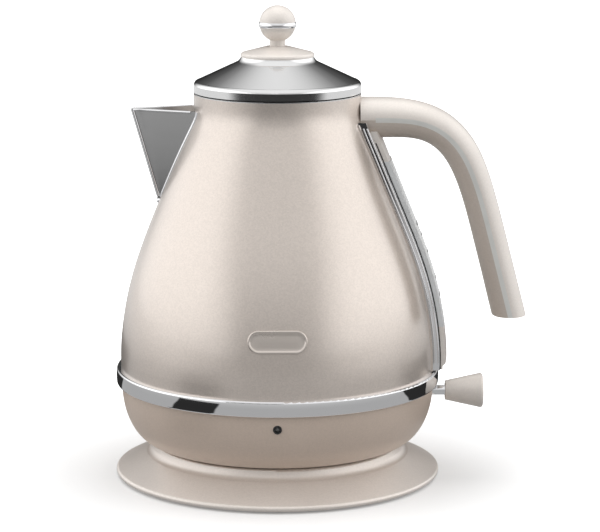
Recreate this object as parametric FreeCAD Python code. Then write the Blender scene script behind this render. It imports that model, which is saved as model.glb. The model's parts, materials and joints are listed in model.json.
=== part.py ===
import FreeCAD, Part
import math
import os

from FreeCAD import Vector

# Electric jug kettle on a round power base. Millimetres.
# The kettle's axis is Z and the table is z = 0. The spout points along -X and the handle along +X.

UP = Vector(0, 0, 1)
AXIS = Vector(0, 0, 0)

# Painted vessel
WALL = 0.9
BODY_BOTTOM_Z = 55.0
BODY_FLARE_Z = 66.0
BODY_TOP_Z = 207.6
BODY_RADIUS = 85.0
NECK_RADIUS = 44.8
COLLAR_TOP_Z = 208.1
BODY_CURVE = [
    (84.5, 76.2),
    (80.2, 102.7),
    (71.9, 129.1),
    (61.4, 155.4),
    (51.5, 180.2),
    (46.5, 193.0),
    (NECK_RADIUS, BODY_TOP_Z),
]

# Chrome belt and plastic bowl under the vessel
BELT_LOW_Z = 50.9
BELT_HIGH_Z = 59.4
BELT_LOW_RADIUS = 86.2
BELT_MID_RADIUS = 87.5
BELT_CROWN = 0.15
BELT_EDGE = 1.1
BELT_HIGH_RADIUS = 86.0
BOWL_BOTTOM_Z = 19.0
BOWL_FLOOR_RADIUS = 66.0
BOWL_RADIUS = 84.5
BOWL_TOP_Z = 50.0
BOWL_WALL = 2.2
FOOT_RING = (56.0, 60.0)
CONNECTOR_HOLE_RADIUS = 17.5

# Pilot light
PILOT_Z = 44.0
PILOT_RADIUS = 2.3
PILOT_LENS_RADIUS = 1.5
PILOT_FRONT_Y = -84.3

# Power base
BASE_RADIUS = 88.0
BASE_LIP_Z = 0.9
BASE_RING_RADIUS = 67.6
BASE_RING_Z = 18.2
PLATFORM_Z = 16.6
PLATFORM_UNDER_Z = 14.6
PLATE_LOW_Z = 1.4
PLATE_HIGH_Z = 3.4
PLATE_RADIUS = 83.7
PILLAR_RADIUS = 15.5
PILLAR_TOP_Z = 31.0
CORD_BORE_RADIUS = 3.4
CORD_BUSH_RADIUS = 4.3
CORD_Z = 7.8
CORD_BUSH_Y = (64.0, 78.5)

# Lid and its ball knob
LID_RADIUS = 44.8
LINER_Z = (208.6, 210.0)
LID_RIM_Z = (208.8, 212.6)
LID_SHOULDER = (42.8, 214.8)
LID_CONE_TOP = (21.9, 224.6)
LID_TOP_RADIUS = 19.5
LID_TOP_Z = 227.5
LID_SHEET = 0.8
CAP_RADIUS = 19.7
CAP_TOP = (6.5, 232.9)
KNOB_RADIUS = 9.7
KNOB_Z = 245.0
KNOB_NECK_RADIUS = 4.1
KNOB_BAND_Z = (243.0, 245.9)
STUD_RADIUS = 2.0

# Steel spout: a V with flat sides, open on top
SPOUT_TIP = Vector(-78.5, 0, 199.5)
SPOUT_FOOT = Vector(-64.2, 0, 149.9)
SPOUT_HALF_ANGLE = math.radians(22.2)
SPOUT_SHEET = 1.0
SPOUT_FLANGE_WIDTH = 2.0
SPOUT_FLANGE_HEIGHT = 0.9
POUR_HOLE_Z = (158.0, 189.0)

# Handle: centre of each section (x, z), thickness in the plane of the handle, width across it
HANDLE_SECTIONS = [
    (34.0, 195.0, 21.4, 29.0),
    (46.0, 195.0, 21.4, 29.0),
    (58.5, 194.9, 21.3, 28.4),
    (71.5, 194.0, 20.2, 27.4),
    (84.4, 189.9, 19.2, 26.6),
    (95.9, 179.9, 18.5, 26.0),
    (104.2, 164.3, 18.0, 25.6),
    (109.2, 149.2, 17.7, 25.4),
    (113.3, 134.2, 17.7, 25.4),
    (117.2, 119.2, 17.7, 25.4),
    (121.0, 104.4, 17.8, 25.4),
    (124.8, 89.6, 17.9, 25.4),
    (128.6, 74.8, 17.9, 25.4),
]
HANDLE_START_DIRECTION = Vector(1, 0, 0)
HANDLE_END_DIRECTION = Vector(0.249, 0, -0.968)
HANDLE_SQUARENESS = 2.25
HANDLE_END_Z = 87.6
HANDLE_WALL = 2.4
STRIP_HALF_WIDTH = 1.25
STRIP_DEPTH = 1.5
STRIP_START_X = 52.0

# Water gauge up the side under the handle; each part lies between two distances off the vessel
GAUGE_BOTTOM_Z = 60.0
GAUGE_HALF_WIDTH = 18.0
GAUGE_TRIM_TOP_Z = 194.0
GAUGE_TRIM_HEIGHT = 3.9
GAUGE_TRIM_WIDTH = 2.4
SEAL_WIDTH = 0.6
GAUGE_BACK = 2.0
GAUGE_HEIGHT = 6.8
WINDOW_Z = (83.4, 173.0)
WINDOW_WALL = 1.6
MARK_LEVELS_Z = (99.7, 108.5, 122.8, 132.0, 138.2)

# On-off lever at the foot of the gauge
LEVER_Z = 45.0
LEVER_PIVOT_X = 60.0
LEVER_PIN_RADIUS = 1.5
STEM_RADIUS = 2.65
KNOB_START_X = 91.3
KNOB_END_X = 111.8
KNOB_RADII = (5.4, 9.5)
TRIP_PIVOT = (44.0, 47.0)
TRIP_PIN_RADIUS = 1.2
PIN_CLEARANCE = 0.06

# Heater and control
PLATE_TOP_Z = 61.0
SPREADER_Z = (57.2, 60.2)
ELEMENT_RING_RADIUS = 48.0
ELEMENT_TUBE_RADIUS = 3.4
ELEMENT_GAP_DEGREES = 40.0
CONTROL_TOP_Z = 40.0


# ---------------------------------------------------------------- geometry helpers


def polar(radius, degrees, z=0.0):
    angle = math.radians(degrees)
    return Vector(radius * math.cos(angle), radius * math.sin(angle), z)


def curve(points, start_direction=None, end_direction=None):
    """Smooth edge through the points."""
    spline = Part.BSplineCurve()
    if start_direction and end_direction:
        spline.interpolate(Points=points, InitialTangent=start_direction, FinalTangent=end_direction)
    else:
        spline.interpolate(Points=points)
    return spline.toShape()


def outline(start, *steps):
    """Closed face in the plane y = 0. A step is an end point, or a (middle, end) pair for an arc."""
    here = Vector(start[0], 0, start[1])
    first = here
    edges = []
    for step in steps:
        if isinstance(step[0], tuple):
            middle = Vector(step[0][0], 0, step[0][1])
            end = Vector(step[1][0], 0, step[1][1])
            edges.append(Part.Arc(here, middle, end).toShape())
        else:
            end = Vector(step[0], 0, step[1])
            edges.append(Part.makeLine(here, end))
        here = end
    edges.append(Part.makeLine(here, first))
    return Part.Face(Part.Wire(edges))


def turned(start, *steps):
    """Solid of revolution about the kettle's axis, from an outline of (radius, z) points."""
    return outline(start, *steps).revolve(AXIS, UP, 360)


def ring(inner_radius, outer_radius, low_z, high_z):
    return turned(
        (inner_radius, low_z),
        (outer_radius, low_z),
        (outer_radius, high_z),
        (inner_radius, high_z),
    )


def disc(radius, low_z, high_z, centre=AXIS):
    base = Vector(centre.x, centre.y, low_z)
    return Part.makeCylinder(radius, high_z - low_z, base, UP)


def slab(x, y, z):
    """Box between the (low, high) pairs."""
    return Part.makeBox(x[1] - x[0], y[1] - y[0], z[1] - z[0], Vector(x[0], y[0], z[0]))


def rod(start, end, radius):
    along = end.sub(start)
    return Part.makeCylinder(radius, along.Length, start, along)


def tube(start, end, inner_radius, outer_radius):
    return rod(start, end, outer_radius).cut(rod(start, end, inner_radius))


def mirrored(shape):
    """The same shape on the other side of the plane y = 0."""
    return shape.mirror(AXIS, Vector(0, 1, 0))


def joined(first, *others):
    return first.multiFuse(list(others)).removeSplitter()


def group(shapes):
    """Several separate solids kept together in one node."""
    solids = []
    for shape in shapes:
        solids.extend(shape.Solids)
    return Part.Compound(solids)


def wall_curve(offset):
    """Side profile of the vessel, moved outwards by the offset: a straight foot, then the long flare."""
    foot_low = Vector(BODY_RADIUS + offset, 0, BODY_BOTTOM_Z)
    foot_high = Vector(BODY_RADIUS + offset, 0, BODY_FLARE_Z)
    flare = [foot_high]
    for radius, z in BODY_CURVE:
        flare.append(Vector(radius + offset, 0, z))
    return [Part.makeLine(foot_low, foot_high), curve(flare, Vector(0, 0, 1), Vector(0, 0, 1))]


def vessel_core(offset):
    """Everything inside the vessel's side profile, moved outwards by the offset."""
    edges = wall_curve(offset)
    low = Vector(BODY_RADIUS + offset, 0, BODY_BOTTOM_Z)
    high = Vector(NECK_RADIUS + offset, 0, BODY_TOP_Z)
    axis_low = Vector(0, 0, BODY_BOTTOM_Z)
    axis_high = Vector(0, 0, BODY_TOP_Z)
    edges.append(Part.makeLine(high, axis_high))
    edges.append(Part.makeLine(axis_high, axis_low))
    edges.append(Part.makeLine(axis_low, low))
    return Part.Face(Part.Wire(edges)).revolve(AXIS, UP, 360)


def on_vessel(low_offset, high_offset, cutter):
    """The layer of the cutter that lies between two distances off the vessel's side."""
    return cutter.common(vessel_core(high_offset)).cut(vessel_core(low_offset))


def vessel_radius(z):
    """Radius of the painted wall at a height."""
    flare = wall_curve(0.0)[1]
    level = Part.makePlane(400, 400, Vector(-200, -200, z), UP)
    return flare.distToShape(level)[1][0][0].x


# ---------------------------------------------------------------- power base


def cord_bush():
    start = Vector(0, CORD_BUSH_Y[0], CORD_Z)
    end = Vector(0, CORD_BUSH_Y[1], CORD_Z)
    return tube(start, end, CORD_BORE_RADIUS, CORD_BUSH_RADIUS)


def base_screw_places():
    return [polar(52.0, angle) for angle in (30, 150, 270)]


def base_cover():
    skin = turned(
        (84.0, BASE_LIP_Z),
        (86.2, BASE_LIP_Z),
        ((BASE_RADIUS, 2.3), (86.9, 4.0)),
        ((79.0, 7.9), (71.4, 12.3)),
        ((69.3, 13.5), (68.1, 15.4)),
        (BASE_RING_RADIUS, 17.0),
        ((67.2, 17.9), (66.2, BASE_RING_Z)),
        (64.2, BASE_RING_Z),
        (63.2, PLATFORM_Z),
        (PILLAR_RADIUS, PLATFORM_Z),
        (PILLAR_RADIUS, PLATFORM_UNDER_Z),
        (64.6, PLATFORM_UNDER_Z),
        (69.6, 10.6),
        (84.0, 3.6),
    )
    bosses = [disc(4.0, PLATE_HIGH_Z, PLATFORM_UNDER_Z + 0.5, place) for place in base_screw_places()]
    bores = [disc(1.5, PLATE_HIGH_Z, 11.0, place) for place in base_screw_places()]
    mouth = rod(Vector(0, 60, CORD_Z), Vector(0, 95, CORD_Z), CORD_BUSH_RADIUS)
    return joined(skin, *bosses).cut(group(bores)).cut(mouth)


def base_plate():
    plate = disc(PLATE_RADIUS, PLATE_LOW_Z, PLATE_HIGH_Z)
    heads = [disc(3.1, PLATE_LOW_Z, 2.6, place) for place in base_screw_places()]
    holes = [disc(1.5, 2.6, PLATE_HIGH_Z, place) for place in base_screw_places()]
    return plate.cut(group(heads + holes)).cut(cord_bush_envelope())


def cord_bush_envelope():
    start = Vector(0, CORD_BUSH_Y[0], CORD_Z)
    end = Vector(0, CORD_BUSH_Y[1], CORD_Z)
    return rod(start, end, CORD_BUSH_RADIUS)


def base_screws():
    screws = []
    for place in base_screw_places():
        head = disc(2.9, PLATE_LOW_Z + 0.1, 2.6, place)
        shank = disc(1.5, 2.6, 11.0, place)
        screws.append(joined(head, shank))
    return group(screws)


def base_connector():
    """Round insulating pillar with a centre hole and two ring-shaped wells."""
    pillar = disc(PILLAR_RADIUS, PLATE_HIGH_Z, PILLAR_TOP_Z)
    collar = disc(20.0, 12.6, PLATFORM_UNDER_Z)
    wells = [ring(6.0, 9.2, 18.5, PILLAR_TOP_Z), ring(10.4, 13.6, 18.5, PILLAR_TOP_Z)]
    centre = disc(3.4, 8.0, PILLAR_TOP_Z)
    return joined(pillar, collar).cut(group(wells)).cut(centre)


def base_contacts():
    """Live and neutral contact rings on the inner walls of the wells, and the earth socket's sleeve."""
    earth_sleeve = ring(2.5, 3.4, 8.0, PILLAR_TOP_Z - 1.0)
    return group([ring(6.0, 6.6, 18.5, 26.0), ring(10.4, 11.0, 18.5, 26.0), earth_sleeve])


# ---------------------------------------------------------------- vessel


def spout_prism(backset, low_z, high_z):
    """V-shaped prism under the spout's sloping keel, its keel set back by a distance along X."""
    slope = SPOUT_FOOT.sub(SPOUT_TIP)
    start = SPOUT_TIP.sub(slope.multiply((high_z - SPOUT_TIP.z) / (SPOUT_TIP.z - SPOUT_FOOT.z)))
    along = SPOUT_FOOT.sub(SPOUT_TIP)
    along = along.multiply((high_z - low_z) / (SPOUT_TIP.z - SPOUT_FOOT.z))
    reach = 62.0
    half = reach * math.tan(SPOUT_HALF_ANGLE)
    keel = Vector(start.x + backset, 0, high_z)
    corners = [keel, Vector(keel.x + reach, -half, high_z), Vector(keel.x + reach, half, high_z), keel]
    return Part.Face(Part.makePolygon(corners)).extrude(along)


def backset_for(distance):
    """How far the keel moves along X when both sides of the V move in by a distance."""
    return distance / math.sin(SPOUT_HALF_ANGLE)


def handle_screw_places():
    return [(-4.2, 195.0), (4.2, 195.0)]


def gauge_port_places():
    """Start and end of the two grommets that join the vessel to the gauge, low then high."""
    places = []
    for z in (95.0, 165.0):
        wall_x = vessel_radius(z)
        places.append((Vector(wall_x - 4.6, -9.0, z), Vector(wall_x + 0.9, -9.0, z)))
    return places


def body_shell():
    wall = on_vessel(-WALL, 0.0, vessel_core(5.0))
    lip_block = gauge_block(-1.9, GAUGE_BOTTOM_Z, 193.0).cut(gauge_block(-0.5, 50.0, 210.0))
    lip = on_vessel(-0.3, 0.7, lip_block)
    pour_hole = spout_prism(backset_for(SPOUT_SHEET + 2.0), *POUR_HOLE_Z)
    pour_hole = pour_hole.common(slab((-90.0, -25.0), (-30.0, 30.0), POUR_HOLE_Z))
    holes = [rod(Vector(35, y, z), Vector(60, y, z), 1.8) for y, z in handle_screw_places()]
    holes.extend(rod(start, end.add(Vector(3, 0, 0)), 3.5) for start, end in gauge_port_places())
    return joined(wall, lip).cut(pour_hole).cut(group(holes))


def neck_collar():
    """Steel ring that stiffens the mouth and carries the lid."""
    return turned(
        (41.9, 200.5),
        (43.2, 200.5),
        (43.2, BODY_TOP_Z),
        (44.4, BODY_TOP_Z),
        (44.4, COLLAR_TOP_Z),
        (41.9, COLLAR_TOP_Z),
    )


def spout():
    outside = spout_prism(0.0, 146.0, SPOUT_TIP.z)
    inside = spout_prism(backset_for(SPOUT_SHEET), 140.0, SPOUT_TIP.z + 6.0)
    plates = outside.cut(inside).cut(vessel_core(0.0))
    plates = plates.common(slab((-90.0, -20.0), (-40.0, 40.0), (149.0, SPOUT_TIP.z)))
    skirt = spout_prism(-backset_for(SPOUT_FLANGE_WIDTH), 143.0, SPOUT_TIP.z)
    flange = on_vessel(0.0, SPOUT_FLANGE_HEIGHT, skirt.cut(inside))
    flange = flange.common(slab((-90.0, -20.0), (-40.0, 40.0), (140.0, SPOUT_TIP.z)))
    return joined(plates, flange)


def filter_guides():
    """Two steel channels on the inside of the wall that hold the spout filter's edges."""
    low_z, high_z = (158.4, 191.0)
    section = [
        (-35.6, 16.4),
        (-35.6, 12.6),
        (-36.9, 12.6),
        (-36.9, 14.4),
        (-39.5, 14.4),
        (-39.5, 12.6),
        (-41.2, 12.6),
        (-41.2, 14.4),
        (-60.0, 14.4),
        (-60.0, 16.4),
        (-35.6, 16.4),
    ]
    corners = [Vector(x, y, low_z) for x, y in section]
    channel = Part.Face(Part.makePolygon(corners)).extrude(Vector(0, 0, high_z - low_z))
    stop = slab((-39.5, -36.9), (12.6, 14.4), (low_z, low_z + 1.6))
    guide = vessel_core(-WALL).common(joined(channel, stop))
    return group([guide, mirrored(guide)])


def filter_frame():
    plate = slab((-39.0, -37.4), (-14.0, 14.0), (160.3, 192.0))
    window = slab((-39.0, -37.4), (-11.0, 11.0), (163.3, 188.0))
    tab = slab((-37.4, -35.8), (-5.0, 5.0), (189.6, 192.0))
    return joined(plate.cut(window), tab)


def filter_mesh():
    """Fine steel mesh, as two layers of crossing bars inside the filter frame."""
    uprights = []
    crossbars = []
    for index in range(10):
        y = -9.0 + 2.0 * index
        uprights.append(slab((-38.2, -37.8), (y - 0.2, y + 0.2), (163.3, 188.0)))
    for index in range(11):
        z = 165.6 + 2.0 * index
        crossbars.append(slab((-38.6, -38.2), (-11.0, 11.0), (z - 0.2, z + 0.2)))
    return joined(uprights[0], *(uprights[1:] + crossbars))


def badge():
    """Blank oval plaque with a raised rim."""
    outer = pill(30.7, 11.9)
    inner = pill(28.5, 9.7)
    rim = on_vessel(0.0, 1.5, outer.cut(inner))
    field = on_vessel(0.0, 0.9, inner)
    return joined(rim, field)


def pill(length, height):
    """Round-ended bar that runs out from the axis towards -Y at the badge's height."""
    centre_z = 89.7
    reach = 100.0
    half = (length - height) / 2
    middle = slab((-half, half), (-reach, -40.0), (centre_z - height / 2, centre_z + height / 2))
    ends = [rod(Vector(x, -40, centre_z), Vector(x, -reach, centre_z), height / 2) for x in (-half, half)]
    return joined(middle, *ends)


# ---------------------------------------------------------------- belt, bowl and lever


def belt_ring():
    low_edge = BELT_LOW_Z + BELT_EDGE
    high_edge = BELT_HIGH_Z - BELT_EDGE
    middle_z = (low_edge + high_edge) / 2
    side = BELT_MID_RADIUS - BELT_CROWN
    nearly = side - 0.3 * BELT_EDGE
    return turned(
        (BODY_RADIUS, BELT_LOW_Z),
        (BELT_LOW_RADIUS, BELT_LOW_Z),
        ((nearly, BELT_LOW_Z + 0.3 * BELT_EDGE), (side, low_edge)),
        ((BELT_MID_RADIUS, middle_z), (side, high_edge)),
        ((nearly, BELT_HIGH_Z - 0.3 * BELT_EDGE), (BELT_HIGH_RADIUS, BELT_HIGH_Z)),
        (BODY_RADIUS, BELT_HIGH_Z),
    )


def bowl_arc(inset):
    """The bowl's side: a quarter ellipse from the belt down to the flat floor."""
    centre = Vector(BOWL_FLOOR_RADIUS, 0, BOWL_TOP_Z)
    floor_edge = Vector(BOWL_FLOOR_RADIUS, 0, BOWL_BOTTOM_Z + inset)
    side_top = Vector(BOWL_RADIUS - inset, 0, BOWL_TOP_Z)
    ellipse = Part.Ellipse(floor_edge, side_top, centre)
    return Part.ArcOfEllipse(ellipse, 0, math.pi / 2).toShape()


def bowl_core(inset, top_radius):
    """Everything inside the bowl's skin, moved in by the inset."""
    side = bowl_arc(inset)
    side_top = Vector(BOWL_RADIUS - inset, 0, BOWL_TOP_Z)
    floor_edge = Vector(BOWL_FLOOR_RADIUS, 0, BOWL_BOTTOM_Z + inset)
    corners = [
        side_top,
        Vector(top_radius, 0, BELT_LOW_Z),
        Vector(top_radius, 0, BODY_BOTTOM_Z),
        Vector(0, 0, BODY_BOTTOM_Z),
        Vector(0, 0, BOWL_BOTTOM_Z + inset),
        floor_edge,
    ]
    edges = [Part.makeLine(start, end) for start, end in zip(corners, corners[1:])]
    edges.append(side)
    face = Part.Face(Part.Wire(Part.__sortEdges__(edges)))
    return face.revolve(AXIS, UP, 360)


def pillar_places():
    return [polar(34.0, angle) for angle in (85, 180, 275)]


def bottom_bowl():
    skin = bowl_core(0.0, BODY_RADIUS).cut(bowl_core(BOWL_WALL, BODY_RADIUS - 3.0))
    skin = joined(skin, ring(FOOT_RING[0], FOOT_RING[1], 16.9, BOWL_BOTTOM_Z + 0.5))
    cuts = [disc(CONNECTOR_HOLE_RADIUS, 15.0, 25.0)]
    cuts.extend(disc(3.1, BOWL_BOTTOM_Z, 20.2, place) for place in pillar_places())
    cuts.extend(disc(1.5, 20.2, 22.0, place) for place in pillar_places())
    cuts.append(slab((70.0, 90.0), (-3.4, 3.4), (LEVER_Z - 7.6, LEVER_Z + 3.4)))
    cuts.append(rod(Vector(0, -75, PILOT_Z), Vector(0, -90, PILOT_Z), PILOT_RADIUS))
    return skin.cut(group(cuts))


def pilot_bezel():
    start = Vector(0, -79.5, PILOT_Z)
    end = Vector(0, PILOT_FRONT_Y - 0.3, PILOT_Z)
    return tube(start, end, PILOT_LENS_RADIUS, PILOT_RADIUS)


def pilot_lens():
    """Clear light guide with a domed end, set back in its bezel."""
    start = Vector(0, -78.0, PILOT_Z)
    end = Vector(0, PILOT_FRONT_Y + 1.5, PILOT_Z)
    dome = Part.makeSphere(1.5, end)
    return joined(rod(start, end, 1.5), dome)


def pilot_lamp():
    lamp = rod(Vector(0, -72.0, PILOT_Z), Vector(0, -78.0, PILOT_Z), 2.4)
    board = slab((-7.0, 7.0), (-72.0, -70.4), (PILOT_Z - 6.0, PILOT_Z + 5.0))
    return joined(lamp, board)


def bottom_screws():
    screws = []
    for place in pillar_places():
        head = disc(2.9, BOWL_BOTTOM_Z + 0.1, 20.2, place)
        shank = disc(1.5, 20.2, 30.0, place)
        screws.append(joined(head, shank))
    return group(screws)


def bowl_pillars():
    pillars = []
    for place in pillar_places():
        post = disc(3.5, BOWL_BOTTOM_Z + BOWL_WALL, SPREADER_Z[0], place)
        pillars.append(post.cut(disc(1.5, BOWL_BOTTOM_Z, 30.0, place)))
    return group(pillars)


def switch_bracket():
    """Two steel ears on the bowl's floor that carry the lever's and the trip lever's pins."""
    floor_z = BOWL_BOTTOM_Z + BOWL_WALL
    ear = slab((38.0, 65.0), (6.0, 7.2), (floor_z, 51.0))
    foot = slab((38.0, 65.0), (-7.2, 7.2), (floor_z, floor_z + 1.2))
    bracket = joined(foot, ear, mirrored(ear))
    return bracket.cut(pivot_pins())


def pivot_pins():
    lever_pin = pin_across(LEVER_PIVOT_X, LEVER_Z, LEVER_PIN_RADIUS)
    trip_pin = pin_across(TRIP_PIVOT[0], TRIP_PIVOT[1], TRIP_PIN_RADIUS)
    return group([lever_pin, trip_pin])


def pin_across(x, z, radius):
    return rod(Vector(x, -8.0, z), Vector(x, 8.0, z), radius)


def switch_rocker():
    """Plastic hub on the lever's pin, with a socket for the stem and an arm towards the trip lever."""
    hub = rod(Vector(LEVER_PIVOT_X, -5.0, LEVER_Z), Vector(LEVER_PIVOT_X, 5.0, LEVER_Z), 4.0)
    socket = rod(Vector(LEVER_PIVOT_X, 0, LEVER_Z), Vector(72.0, 0, LEVER_Z), 4.0)
    arm = slab((50.5, LEVER_PIVOT_X), (-2.5, 2.5), (LEVER_Z - 1.5, LEVER_Z + 1.5))
    stem_hole = rod(Vector(65.0, 0, LEVER_Z), Vector(80.0, 0, LEVER_Z), STEM_RADIUS)
    pin_hole = pin_across(LEVER_PIVOT_X, LEVER_Z, LEVER_PIN_RADIUS + PIN_CLEARANCE)
    return joined(hub, socket, arm).cut(stem_hole).cut(pin_hole)


def switch_stem():
    return rod(Vector(65.0, 0, LEVER_Z), Vector(98.0, 0, LEVER_Z), STEM_RADIUS)


def switch_knob():
    """Cone that widens outwards, with rounded ends, bored for the stem."""
    near, far = KNOB_RADII
    profile = outline(
        (0.0, 0.0),
        (near - 0.6, 0.0),
        ((near - 0.15, 0.15), (near, 0.6)),
        (far - 0.1, KNOB_END_X - KNOB_START_X - 1.6),
        ((far - 0.4, KNOB_END_X - KNOB_START_X - 0.5), (far - 1.5, KNOB_END_X - KNOB_START_X)),
        (0.0, KNOB_END_X - KNOB_START_X + 0.3),
    )
    cone = profile.revolve(AXIS, UP, 360)
    cone.rotate(AXIS, Vector(0, 1, 0), 90)
    cone.translate(Vector(KNOB_START_X, 0, LEVER_Z))
    return cone.cut(switch_stem())


def trip_lever():
    """Plastic lever that the steam bimetal pushes to knock the switch off."""
    x, z = TRIP_PIVOT
    hub = rod(Vector(x, -5.0, z), Vector(x, 5.0, z), 2.8)
    outer_arm = slab((x, 49.6), (-2.5, 2.5), (z - 1.2, z + 0.6))
    inner_arm = slab((31.0, x), (-2.0, 2.0), (z - 1.0, z + 1.0))
    pin_hole = pin_across(x, z, TRIP_PIN_RADIUS + PIN_CLEARANCE)
    return joined(hub, outer_arm, inner_arm).cut(pin_hole)


# ---------------------------------------------------------------- heater and control


def steam_path():
    """Corners of the steam tube's path up the inside of the wall."""
    corners = [(75.5, 54.0), (75.5, 80.0), (62.0, 134.0), (45.5, 176.0), (44.0, 187.0)]
    return [Vector(x, 0, z) for x, z in corners]


def swept_tube(path, inner_radius, outer_radius, bend_radius):
    """Round tube along straight runs joined by tangent arcs."""
    edges = []
    here = path[0]
    for before, corner, after in zip(path, path[1:], path[2:]):
        back = before.sub(corner).normalize()
        ahead = after.sub(corner).normalize()
        half_turn = (math.pi - back.getAngle(ahead)) / 2
        setback = bend_radius * math.tan(half_turn)
        enter = corner.add(Vector(back).multiply(setback))
        leave = corner.add(Vector(ahead).multiply(setback))
        bisector = Vector(back).add(ahead).normalize()
        centre = corner.add(Vector(bisector).multiply(bend_radius / math.cos(half_turn)))
        middle = centre.sub(Vector(bisector).multiply(bend_radius))
        edges.append(Part.makeLine(here, enter))
        edges.append(Part.Arc(enter, middle, leave).toShape())
        here = leave
    edges.append(Part.makeLine(here, path[-1]))
    wire = Part.Wire(edges)
    direction = path[1].sub(path[0])
    shapes = []
    for radius in (outer_radius, inner_radius):
        circle = Part.Wire(Part.makeCircle(radius, path[0], direction))
        shapes.append(wire.makePipeShell([circle], True, True))
    return shapes[0].cut(shapes[1])


def steam_tube():
    return swept_tube(steam_path(), 2.4, 3.4, 30.0)


def heater_plate():
    """Steel disc that closes the vessel, with a turned-down rim and a hole for the steam tube."""
    plate = turned(
        (0.0, SPREADER_Z[1]),
        (80.9, SPREADER_Z[1]),
        (80.9, 55.4),
        (81.7, 55.4),
        (81.7, 60.4),
        ((81.5, 60.8), (81.1, PLATE_TOP_Z)),
        (0.0, PLATE_TOP_Z),
    )
    return plate.cut(disc(3.4, 50.0, 65.0, Vector(75.5, 0, 0)))


def heater_seal():
    return ring(81.7, BODY_RADIUS - WALL, 55.4, 60.2)


def heat_spreader():
    return disc(62.0, *SPREADER_Z)


def element_ends():
    """Centres of the heating tube's two ends."""
    z = SPREADER_Z[0] - ELEMENT_TUBE_RADIUS
    return [polar(ELEMENT_RING_RADIUS, angle, z) for angle in (ELEMENT_GAP_DEGREES, -ELEMENT_GAP_DEGREES)]


def heating_element():
    """Horseshoe heating tube, open towards the lever, brazed under the spreader."""
    z = SPREADER_Z[0] - ELEMENT_TUBE_RADIUS
    start = polar(ELEMENT_RING_RADIUS, ELEMENT_GAP_DEGREES, z)
    tangent = polar(1.0, ELEMENT_GAP_DEGREES + 90)
    section = Part.Face(Part.Wire(Part.makeCircle(ELEMENT_TUBE_RADIUS, start, tangent)))
    return section.revolve(AXIS, UP, 360 - 2 * ELEMENT_GAP_DEGREES)


def element_terminals():
    pins = []
    for end, angle in zip(element_ends(), (ELEMENT_GAP_DEGREES, -ELEMENT_GAP_DEGREES)):
        inward = polar(1.0, angle - math.copysign(90, angle))
        pins.append(rod(end, end.add(inward.multiply(9.0)), 1.4))
    return group(pins)


def control_housing():
    """Moulded control: a downward cup over the base connector, a floor flange and two bimetal posts."""
    floor_z = BOWL_BOTTOM_Z + BOWL_WALL
    cup = ring(16.5, 22.0, floor_z, CONTROL_TOP_Z - 3.0)
    top = disc(22.0, CONTROL_TOP_Z - 3.0, CONTROL_TOP_Z)
    flange = ring(21.0, 29.0, floor_z, floor_z + 2.0)
    posts = [disc(7.0, CONTROL_TOP_Z - 1.0, 56.4, Vector(0, y, 0)) for y in (-14.0, 14.0)]
    return joined(cup, top, flange, *posts)


def bimetal_discs():
    """Two snap-action discs that sense the heater plate's temperature."""
    discs = []
    for y in (-14.0, 14.0):
        discs.append(disc(6.2, 56.4, 56.9, Vector(0, y, 0)))
    return group(discs)


def jug_contacts():
    """Earth pin and two tubular contacts inside the control's cup."""
    top_z = CONTROL_TOP_Z - 3.0
    return group([disc(2.0, 21.5, top_z), ring(7.2, 8.0, 22.5, top_z), ring(11.8, 12.6, 22.5, top_z)])


def steam_bimetal():
    """Snap blade over the lever, in the steam tube's outlet."""
    return slab((50.0, 68.0), (-7.2, 7.2), (51.0, 51.5))


# ---------------------------------------------------------------- water gauge


def gauge_block(inset, low_z, high_z):
    """Upright block on the +X side, as wide as the gauge less an inset on each side."""
    half = GAUGE_HALF_WIDTH - inset
    return slab((30.0, 110.0), (-half, half), (low_z, high_z))


def gauge_frame():
    """Outer border of the gauge, as wide as a trim strip."""
    border = gauge_block(0.0, GAUGE_BOTTOM_Z, GAUGE_TRIM_TOP_Z)
    return border.cut(gauge_block(GAUGE_TRIM_WIDTH, 50.0, 200.0))


def gauge_trim(side):
    """Chrome strip along one side of the gauge; side is -1 at the front and 1 at the back."""
    strip = gauge_frame()
    strip = strip.common(slab((30.0, 110.0), (min(0, side * 30), max(0, side * 30)), (50.0, 200.0)))
    return on_vessel(0.5, GAUGE_TRIM_HEIGHT, strip)


def gauge_seal():
    """Black gasket: a foot under each trim strip and an upstand between the strip and the window."""
    foot = gauge_frame()
    upstand_inset = GAUGE_TRIM_WIDTH
    upstand = gauge_block(upstand_inset, GAUGE_BOTTOM_Z, 183.0)
    upstand = upstand.cut(gauge_block(upstand_inset + SEAL_WIDTH, 50.0, 200.0))
    sides = joined(on_vessel(0.0, 0.5, foot), on_vessel(0.0, GAUGE_TRIM_HEIGHT + 0.3, upstand))
    return group([sides])


def gauge_inside(low_z, high_z):
    return gauge_block(GAUGE_TRIM_WIDTH + SEAL_WIDTH, low_z, high_z)


def gauge_back_plate():
    plate = on_vessel(0.0, GAUGE_BACK, gauge_inside(GAUGE_BOTTOM_Z, 183.0))
    ports = [rod(start, end.add(Vector(3, 0, 0)), 3.5) for start, end in gauge_port_places()]
    return plate.cut(group(ports))


def gauge_grommets():
    return group([tube(start, end, 2.0, 3.5) for start, end in gauge_port_places()])


def gauge_window():
    """Clear cover with a hollow behind it that the water rises in."""
    outside = on_vessel(GAUGE_BACK, GAUGE_HEIGHT, gauge_inside(*WINDOW_Z))
    half = GAUGE_HALF_WIDTH - GAUGE_TRIM_WIDTH - SEAL_WIDTH - WINDOW_WALL
    hollow_block = slab((30.0, 110.0), (-half, half), (WINDOW_Z[0] + 3.0, WINDOW_Z[1] - 3.0))
    hollow = on_vessel(GAUGE_BACK, GAUGE_HEIGHT - WINDOW_WALL, hollow_block)
    return outside.cut(hollow)


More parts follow.
